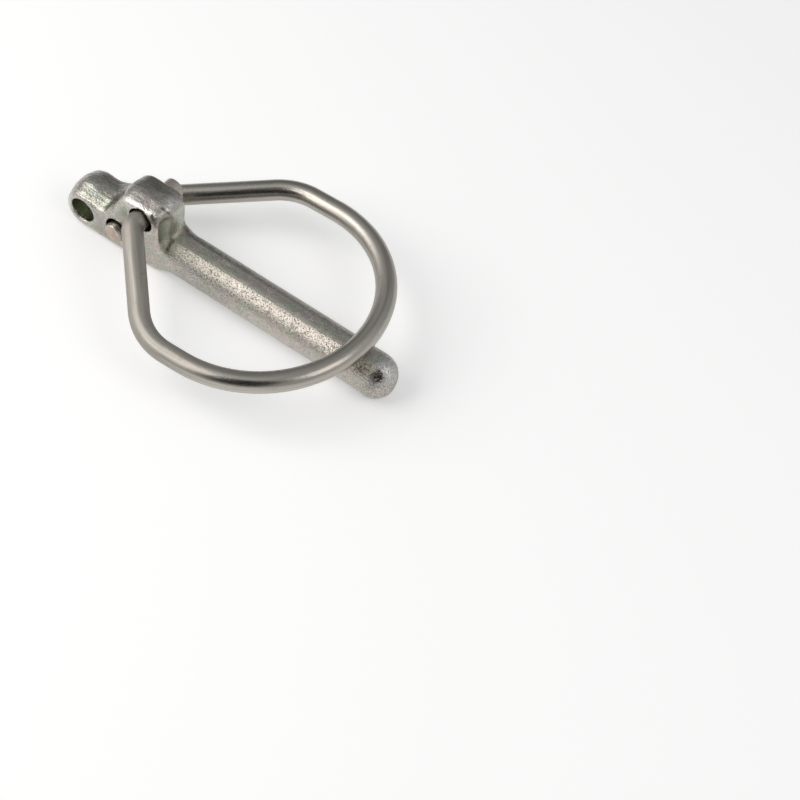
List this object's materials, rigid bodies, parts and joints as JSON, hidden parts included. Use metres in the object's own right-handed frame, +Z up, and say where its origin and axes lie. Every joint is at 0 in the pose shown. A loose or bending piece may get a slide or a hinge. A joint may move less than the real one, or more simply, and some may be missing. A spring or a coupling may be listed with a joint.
{
  "type": "wire lock pin",
  "caption": "Forged lock pin with a round shank and tip, a flat-sided head with a chain eye, and a spring wire ring that swings over the shank to keep it in its hole.",
  "frame": {"origin": "on the shank's axis, at the shoulder where the head ends and the straight shank begins", "axes": "+X along the shank from the head to the tip, +Y along the cross holes of the head, +Z up, to the side on which the hump and the wire ring lie"},
  "size_m": [0.096, 0.0646, 0.0205],
  "materials": {
    "plated_forging": "rough forged steel with dull zinc plating",
    "spring_wire": "smooth drawn spring wire with dull zinc plating"
  },
  "bodies": {
    "pin": {"pin_body": "plated_forging"},
    "ring": {"wire_ring": "spring_wire"}
  },
  "joints": [
    {"name": "ring_swing", "type": "hinge", "parent": "pin", "child": "ring", "pos_m": [-0.01263, 0, 0.0058], "axis": [0, -1, 0], "range_deg": [0, 180], "deforming": ["wire_ring"]}
  ]
}
